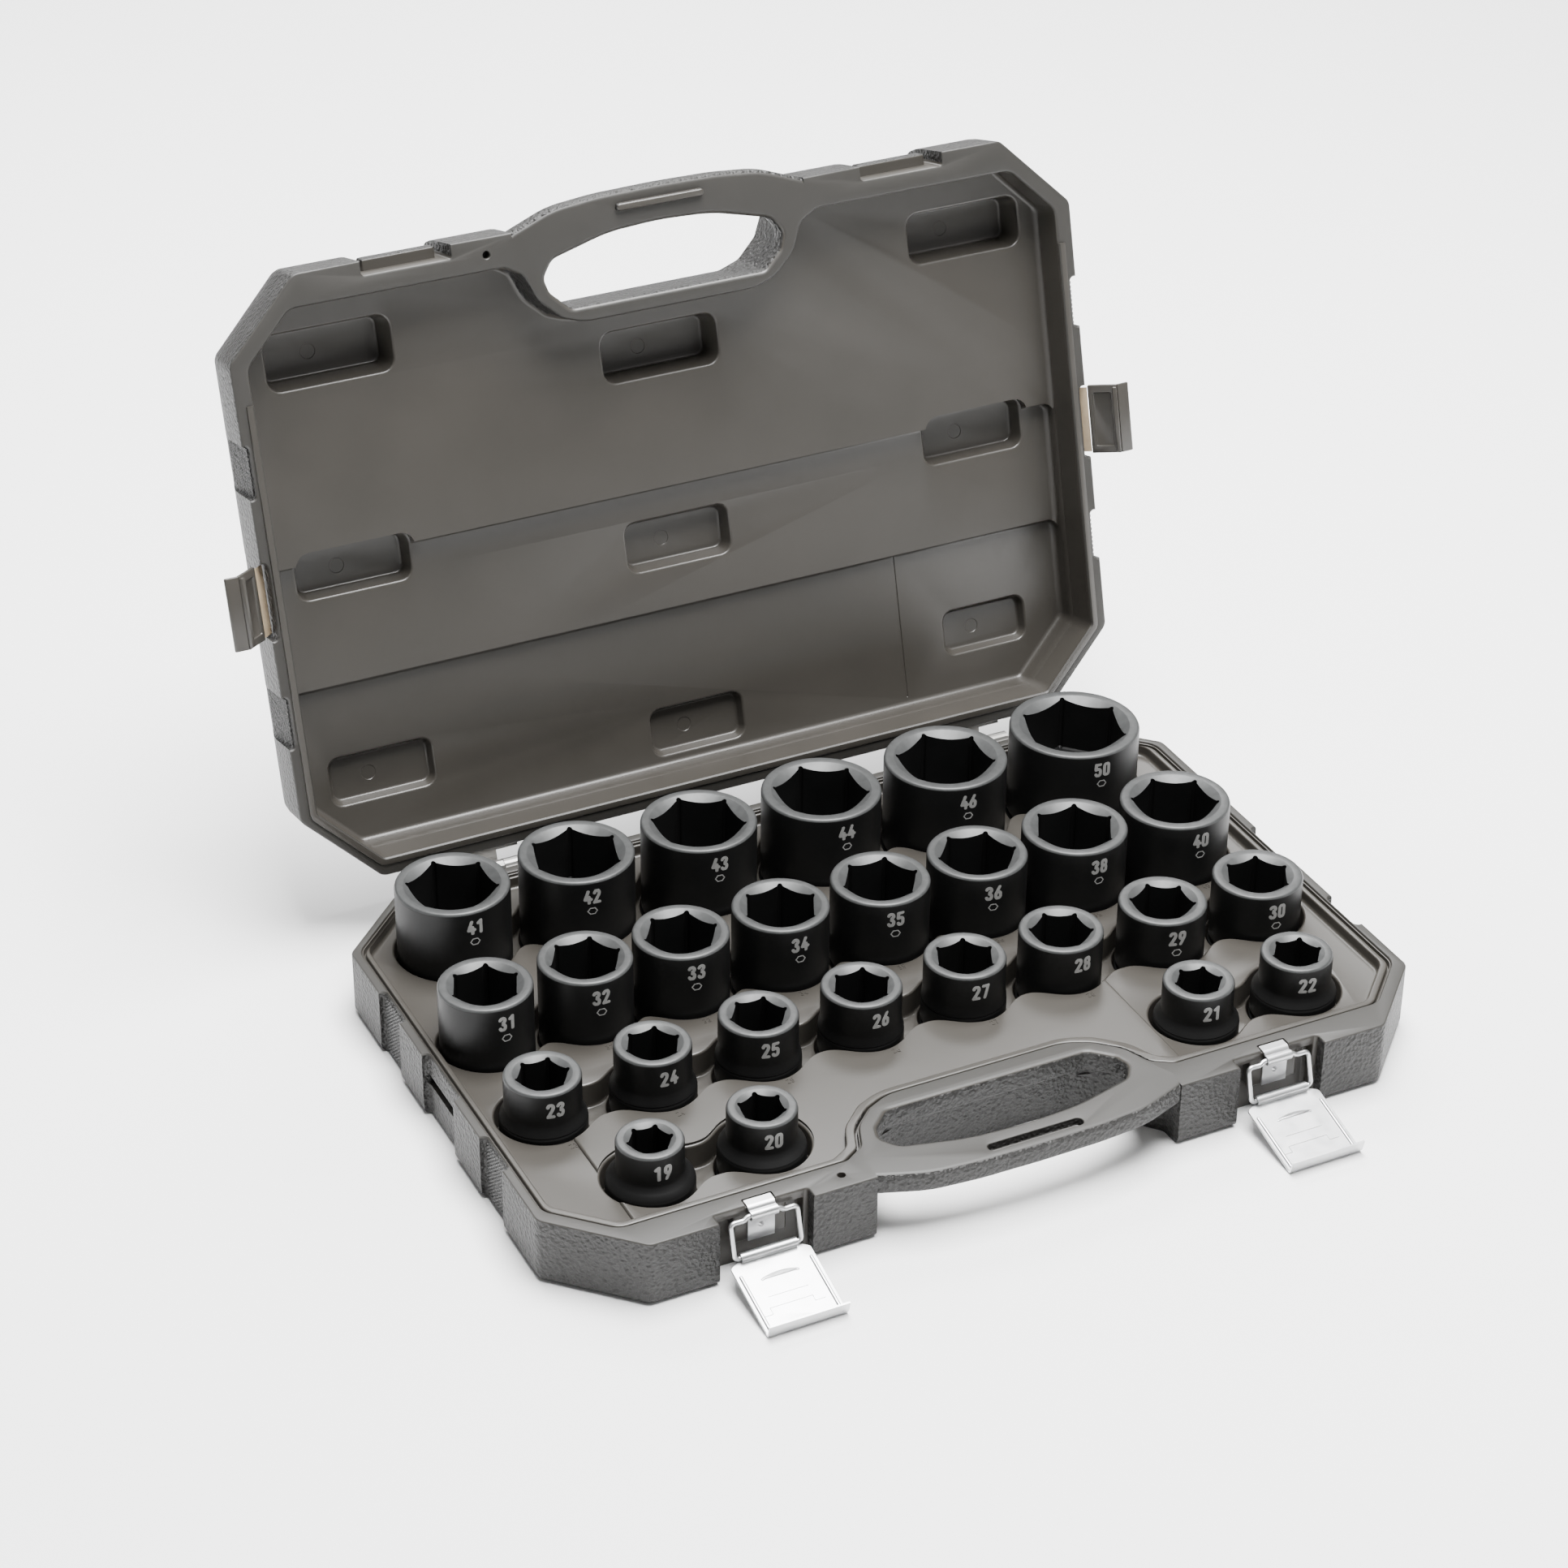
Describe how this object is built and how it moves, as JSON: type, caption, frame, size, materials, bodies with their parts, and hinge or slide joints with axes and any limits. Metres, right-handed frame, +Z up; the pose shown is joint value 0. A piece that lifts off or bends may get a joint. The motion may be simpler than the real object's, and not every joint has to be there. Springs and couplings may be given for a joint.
{
  "type": "socket wrench set in case",
  "caption": "Hinged two-part carry case with a moulded tray of black six-point impact sockets, a bowed handle, wire draw latches and side flaps.",
  "frame": {"origin": "middle of the flat underside of the base, which rests on the bench", "axes": "+X to the right along the case's width, -Y to the front edge with handle and latches, +Z up; the lid is open at rest"},
  "size_m": [0.5312, 0.5104, 0.3632],
  "materials": {
    "case_plastic": "satin, leather-grained on the outer walls",
    "phosphate_steel": "satin black phosphate",
    "zinc_plate": "bright zinc plate",
    "grey_steel": "plain, slightly dull",
    "hinge_strip": "natural, slightly translucent"
  },
  "bodies": {
    "case": {"base_case": "case_plastic", "hinge_leaf_base_left": "grey_steel", "hinge_leaf_base_right": "grey_steel", "hinge_pin_left": "zinc_plate", "hinge_pin_right": "zinc_plate", "latch_bracket_left": "zinc_plate", "latch_bracket_right": "zinc_plate"},
    "lid": {"lid_case": "case_plastic", "hinge_leaf_lid_left": "grey_steel", "hinge_leaf_lid_right": "grey_steel"},
    "bail_left": {"latch_bail_left": "zinc_plate"},
    "lever_left": {"latch_lever_left": "zinc_plate"},
    "side_flap_left": {"side_latch_left": "case_plastic", "side_latch_strip_left": "hinge_strip"},
    "bail_right": {"latch_bail_right": "zinc_plate"},
    "lever_right": {"latch_lever_right": "zinc_plate"},
    "side_flap_right": {"side_latch_right": "case_plastic", "side_latch_strip_right": "hinge_strip"},
    "socket_19": {"socket_19mm": "phosphate_steel"},
    "socket_20": {"socket_20mm": "phosphate_steel"},
    "socket_21": {"socket_21mm": "phosphate_steel"},
    "socket_22": {"socket_22mm": "phosphate_steel"},
    "socket_23": {"socket_23mm": "phosphate_steel"},
    "socket_24": {"socket_24mm": "phosphate_steel"},
    "socket_25": {"socket_25mm": "phosphate_steel"},
    "socket_26": {"socket_26mm": "phosphate_steel"},
    "socket_27": {"socket_27mm": "phosphate_steel"},
    "socket_28": {"socket_28mm": "phosphate_steel"},
    "socket_29": {"socket_29mm": "phosphate_steel"},
    "socket_30": {"socket_30mm": "phosphate_steel"},
    "socket_31": {"socket_31mm": "phosphate_steel"},
    "socket_32": {"socket_32mm": "phosphate_steel"},
    "socket_33": {"socket_33mm": "phosphate_steel"},
    "socket_34": {"socket_34mm": "phosphate_steel"},
    "socket_35": {"socket_35mm": "phosphate_steel"},
    "socket_36": {"socket_36mm": "phosphate_steel"},
    "socket_38": {"socket_38mm": "phosphate_steel"},
    "socket_40": {"socket_40mm": "phosphate_steel"},
    "socket_41": {"socket_41mm": "phosphate_steel"},
    "socket_42": {"socket_42mm": "phosphate_steel"},
    "socket_43": {"socket_43mm": "phosphate_steel"},
    "socket_44": {"socket_44mm": "phosphate_steel"},
    "socket_46": {"socket_46mm": "phosphate_steel"},
    "socket_50": {"socket_50mm": "phosphate_steel"}
  },
  "joints": [
    {"name": "lid_hinge", "type": "hinge", "parent": "case", "child": "lid", "pos_m": [0, 0.171, 0.032], "axis": [-1, 0, 0], "range_deg": [-105.1, 0]},
    {"name": "bail_pivot_left", "type": "hinge", "parent": "case", "child": "bail_left", "pos_m": [-0.1425, -0.1579, 0.033], "axis": [-1, 0, 0], "range_deg": [0, 100]},
    {"name": "lever_pivot_left", "type": "hinge", "parent": "bail_left", "child": "lever_left", "pos_m": [-0.1425, -0.16328, 0.01426], "axis": [1, 0, 0], "range_deg": [-104.5, 0]},
    {"name": "side_flap_hinge_left", "type": "hinge", "parent": "lid", "child": "side_flap_left", "pos_m": [-0.2402, 0.22841, 0.19104], "axis": [0, -0.2605, -0.9655], "range_deg": [-45, 75]},
    {"name": "bail_pivot_right", "type": "hinge", "parent": "case", "child": "bail_right", "pos_m": [0.1425, -0.1579, 0.033], "axis": [-1, 0, 0], "range_deg": [0, 100]},
    {"name": "lever_pivot_right", "type": "hinge", "parent": "bail_right", "child": "lever_right", "pos_m": [0.1425, -0.16328, 0.01426], "axis": [1, 0, 0], "range_deg": [-104.5, 0]},
    {"name": "side_flap_hinge_right", "type": "hinge", "parent": "lid", "child": "side_flap_right", "pos_m": [0.2402, 0.22841, 0.19104], "axis": [0, 0.2605, 0.9655], "range_deg": [-45, 75]},
    {"name": "lift_19", "type": "slide", "parent": "case", "child": "socket_19", "axis": [0, 0, 1], "range_m": [0, 0.075]},
    {"name": "lift_20", "type": "slide", "parent": "case", "child": "socket_20", "axis": [0, 0, 1], "range_m": [0, 0.075]},
    {"name": "lift_21", "type": "slide", "parent": "case", "child": "socket_21", "axis": [0, 0, 1], "range_m": [0, 0.075]},
    {"name": "lift_22", "type": "slide", "parent": "case", "child": "socket_22", "axis": [0, 0, 1], "range_m": [0, 0.075]},
    {"name": "lift_23", "type": "slide", "parent": "case", "child": "socket_23", "axis": [0, 0, 1], "range_m": [0, 0.075]},
    {"name": "lift_24", "type": "slide", "parent": "case", "child": "socket_24", "axis": [0, 0, 1], "range_m": [0, 0.075]},
    {"name": "lift_25", "type": "slide", "parent": "case", "child": "socket_25", "axis": [0, 0, 1], "range_m": [0, 0.075]},
    {"name": "lift_26", "type": "slide", "parent": "case", "child": "socket_26", "axis": [0, 0, 1], "range_m": [0, 0.075]},
    {"name": "lift_27", "type": "slide", "parent": "case", "child": "socket_27", "axis": [0, 0, 1], "range_m": [0, 0.075]},
    {"name": "lift_28", "type": "slide", "parent": "case", "child": "socket_28", "axis": [0, 0, 1], "range_m": [0, 0.075]},
    {"name": "lift_29", "type": "slide", "parent": "case", "child": "socket_29", "axis": [0, 0, 1], "range_m": [0, 0.075]},
    {"name": "lift_30", "type": "slide", "parent": "case", "child": "socket_30", "axis": [0, 0, 1], "range_m": [0, 0.075]},
    {"name": "lift_31", "type": "slide", "parent": "case", "child": "socket_31", "axis": [0, 0, 1], "range_m": [0, 0.075]},
    {"name": "lift_32", "type": "slide", "parent": "case", "child": "socket_32", "axis": [0, 0, 1], "range_m": [0, 0.075]},
    {"name": "lift_33", "type": "slide", "parent": "case", "child": "socket_33", "axis": [0, 0, 1], "range_m": [0, 0.075]},
    {"name": "lift_34", "type": "slide", "parent": "case", "child": "socket_34", "axis": [0, 0, 1], "range_m": [0, 0.075]},
    {"name": "lift_35", "type": "slide", "parent": "case", "child": "socket_35", "axis": [0, 0, 1], "range_m": [0, 0.075]},
    {"name": "lift_36", "type": "slide", "parent": "case", "child": "socket_36", "axis": [0, 0, 1], "range_m": [0, 0.075]},
    {"name": "lift_38", "type": "slide", "parent": "case", "child": "socket_38", "axis": [0, 0, 1], "range_m": [0, 0.075]},
    {"name": "lift_40", "type": "slide", "parent": "case", "child": "socket_40", "axis": [0, 0, 1], "range_m": [0, 0.075]},
    {"name": "lift_41", "type": "slide", "parent": "case", "child": "socket_41", "axis": [0, 0, 1], "range_m": [0, 0.075]},
    {"name": "lift_42", "type": "slide", "parent": "case", "child": "socket_42", "axis": [0, 0, 1], "range_m": [0, 0.075]},
    {"name": "lift_43", "type": "slide", "parent": "case", "child": "socket_43", "axis": [0, 0, 1], "range_m": [0, 0.075]},
    {"name": "lift_44", "type": "slide", "parent": "case", "child": "socket_44", "axis": [0, 0, 1], "range_m": [0, 0.075]},
    {"name": "lift_46", "type": "slide", "parent": "case", "child": "socket_46", "axis": [0, 0, 1], "range_m": [0, 0.075]},
    {"name": "lift_50", "type": "slide", "parent": "case", "child": "socket_50", "axis": [0, 0, 1], "range_m": [0, 0.075]}
  ]
}
